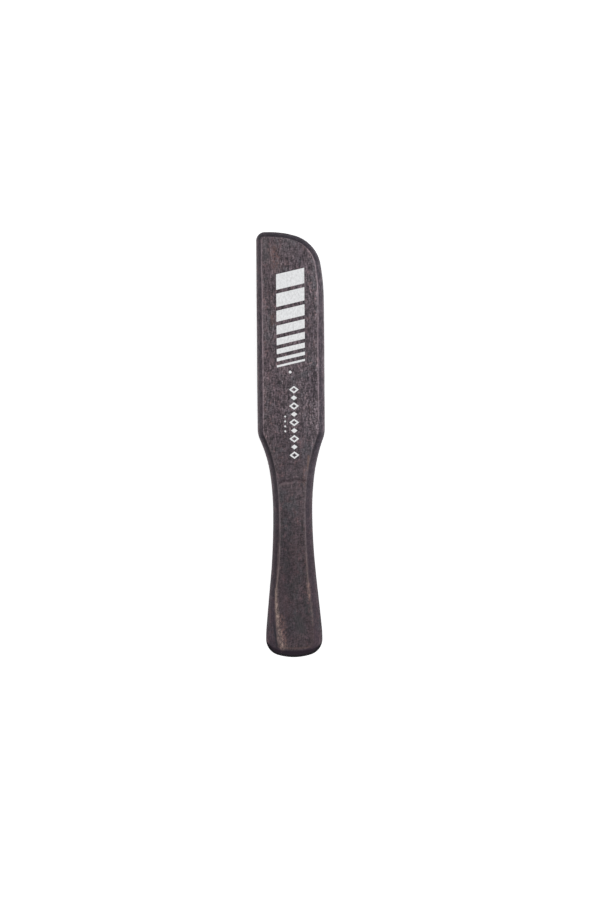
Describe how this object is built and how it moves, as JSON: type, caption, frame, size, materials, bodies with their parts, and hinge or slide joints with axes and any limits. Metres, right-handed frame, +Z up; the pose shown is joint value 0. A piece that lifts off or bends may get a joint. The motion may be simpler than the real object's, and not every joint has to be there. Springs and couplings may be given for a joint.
{
  "type": "fade brush",
  "caption": "Flat knife-shaped wooden barber's brush with a waisted handle and rows of flat-trimmed bristle tufts pinned into blind holes in one face of the head.",
  "frame": {"origin": "middle of the bounding box's bottom: z = 0 is the plane of the trimmed bristle tips, which the brush lies on", "axes": "+Y runs from the handle to the tip of the head, +Z points up out of the flat back face, and +X points towards the swept side of the head"},
  "size_m": [0.0354, 0.225, 0.03],
  "materials": {
    "wood": "thin dark stain, satin, lighter where the edges are worn",
    "bristle": "dark natural bristle, slightly glossy along each hair",
    "anchor_wire": "bright flat wire",
    "print_ink": "thin matt white ink, slightly worn"
  },
  "bodies": {
    "root": {"wooden_body": "wood", "tuft_row_1": "bristle", "tuft_row_2": "bristle", "tuft_row_3": "bristle", "tuft_row_4": "bristle", "tuft_row_5": "bristle", "tuft_row_6": "bristle", "anchor_row_1": "anchor_wire", "anchor_row_2": "anchor_wire", "anchor_row_3": "anchor_wire", "anchor_row_4": "anchor_wire", "anchor_row_5": "anchor_wire", "anchor_row_6": "anchor_wire"}
  },
  "joints": []
}
